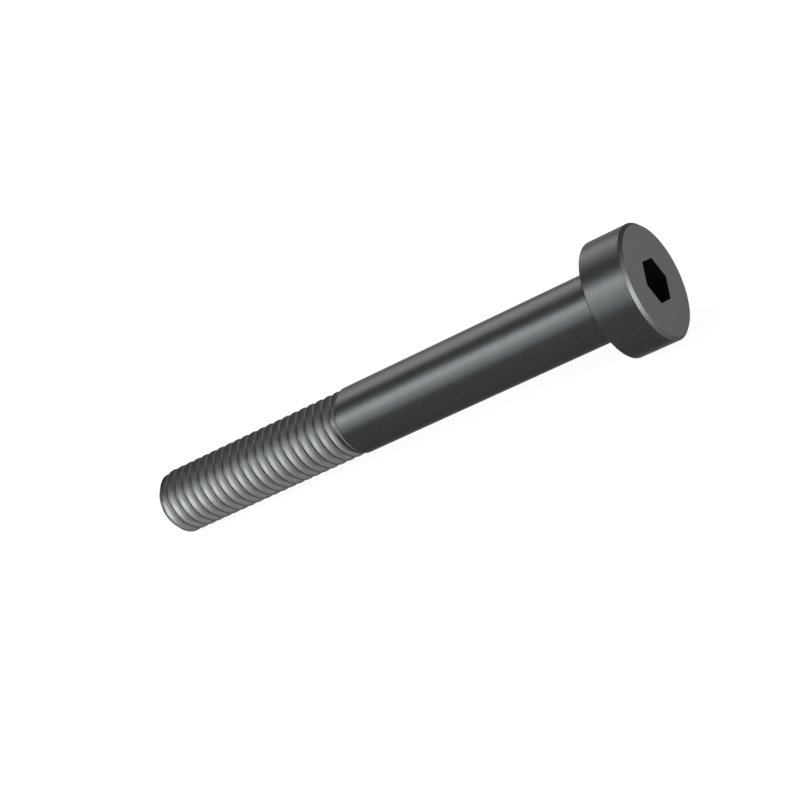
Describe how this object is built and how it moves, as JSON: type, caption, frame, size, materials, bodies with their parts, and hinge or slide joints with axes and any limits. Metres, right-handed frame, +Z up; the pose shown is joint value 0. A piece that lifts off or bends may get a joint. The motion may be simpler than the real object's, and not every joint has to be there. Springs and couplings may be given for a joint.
{
  "type": "low head socket cap screw",
  "caption": "Low head socket cap screw in black steel, with a hexagon socket, a plain shank and a threaded end.",
  "frame": {"origin": "under the middle of the lying screw, on the surface that it lies on", "axes": "+X along the screw towards the head, +Z up; the screw lies on the back edge of its head and on the last full crest of its thread, so its own axis leans 2.6 degrees down towards the tip; one corner of the hexagon socket points up"},
  "size_m": [0.0436, 0.0084, 0.0086],
  "materials": {
    "black_steel": "alloy steel with a smooth satin black oxide"
  },
  "bodies": {
    "root": {"cap_screw": "black_steel"}
  },
  "joints": []
}
